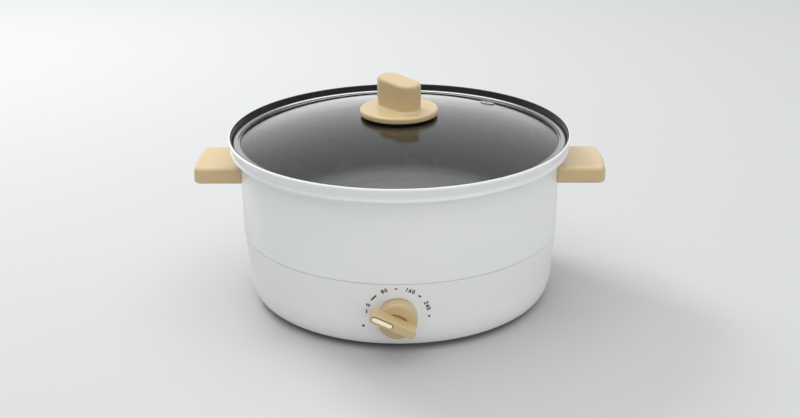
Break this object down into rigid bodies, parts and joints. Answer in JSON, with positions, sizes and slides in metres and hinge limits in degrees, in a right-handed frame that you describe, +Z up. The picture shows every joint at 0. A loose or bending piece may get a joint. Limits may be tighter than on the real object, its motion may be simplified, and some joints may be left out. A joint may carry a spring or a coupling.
{
  "type": "electric hot pot with lid",
  "caption": "Round countertop electric hot pot with a lift-off domed glass lid, two side handles and a turning heat dial on its front.",
  "frame": {"origin": "on the pot's vertical axis, in the plane of the four feet", "axes": "+Z up out of the pot, +X along the line of the two handles to the right one as seen from the front, -Y out of the front where the dial is, +Y out of the back where the inlet is"},
  "size_m": [0.3622, 0.3107, 0.196],
  "materials": {
    "white_coating": "satin white enamel outside, dark non-stick coating inside",
    "white_plastic": "satin white",
    "cream_plastic": "fine matt cream",
    "window_plastic": "translucent pale cream",
    "lamp_plastic": "translucent amber",
    "black_plastic": "matt black",
    "lead_plastic": "grey insulation",
    "glass": "clear tempered glass",
    "rim_steel": "polished steel",
    "bright_steel": "zinc-plated steel",
    "aluminium": "as cast",
    "brass": "plain",
    "copper": "bare tube",
    "black_rubber": "matt",
    "dark_silicone": "matt",
    "ceramic": "unglazed"
  },
  "bodies": {
    "base": {"base_housing": "white_plastic", "bottom_cover": "black_plastic", "bulb_strap": "bright_steel", "capillary_tube": "copper", "cover_screws": "bright_steel", "earth_tag": "brass", "foot_back_left": "black_rubber", "foot_back_right": "black_rubber", "foot_front_left": "black_rubber", "foot_front_right": "black_rubber", "fuse_strap": "bright_steel", "handle_screws": "bright_steel", "heat_shield": "bright_steel", "heater_insulators": "ceramic", "heater_plate": "aluminium", "heater_terminals": "bright_steel", "heating_element": "bright_steel", "indicator_lamp": "lamp_plastic", "inlet_pins": "brass", "inlet_screws": "bright_steel", "lamp_leads": "lead_plastic", "lead_earth": "lead_plastic", "lead_live": "lead_plastic", "lead_neutral": "lead_plastic", "lead_to_fuse": "lead_plastic", "lead_to_heater": "lead_plastic", "left_handle": "cream_plastic", "pot_body": "white_coating", "power_inlet": "black_plastic", "right_handle": "cream_plastic", "seam_seal": "dark_silicone", "sensing_bulb": "copper", "shield_push_nuts": "bright_steel", "strap_screws": "bright_steel", "stud_nuts": "bright_steel", "support_pillars": "bright_steel", "thermal_fuse": "ceramic", "thermostat_body": "black_plastic", "thermostat_bracket": "bright_steel", "thermostat_nut": "bright_steel", "thermostat_tabs": "brass", "weld_studs": "bright_steel"},
    "lid": {"lid_glass": "glass", "lid_rim": "rim_steel", "vent_eyelet": "rim_steel", "lid_knob": "cream_plastic", "knob_gasket": "dark_silicone", "knob_inner_seal": "dark_silicone", "knob_washer": "bright_steel", "knob_screw": "bright_steel"},
    "dial": {"dial": "cream_plastic", "dial_window": "window_plastic", "dial_clip": "bright_steel", "thermostat_shaft": "bright_steel"}
  },
  "joints": [
    {"name": "lid_lift", "type": "slide", "parent": "base", "child": "lid", "axis": [0, 0, 1], "range_m": [0, 0.12]},
    {"name": "dial_turn", "type": "hinge", "parent": "base", "child": "dial", "pos_m": [0, -0.138, 0.0343], "axis": [0, 1, 0], "range_deg": [0, 157]}
  ]
}
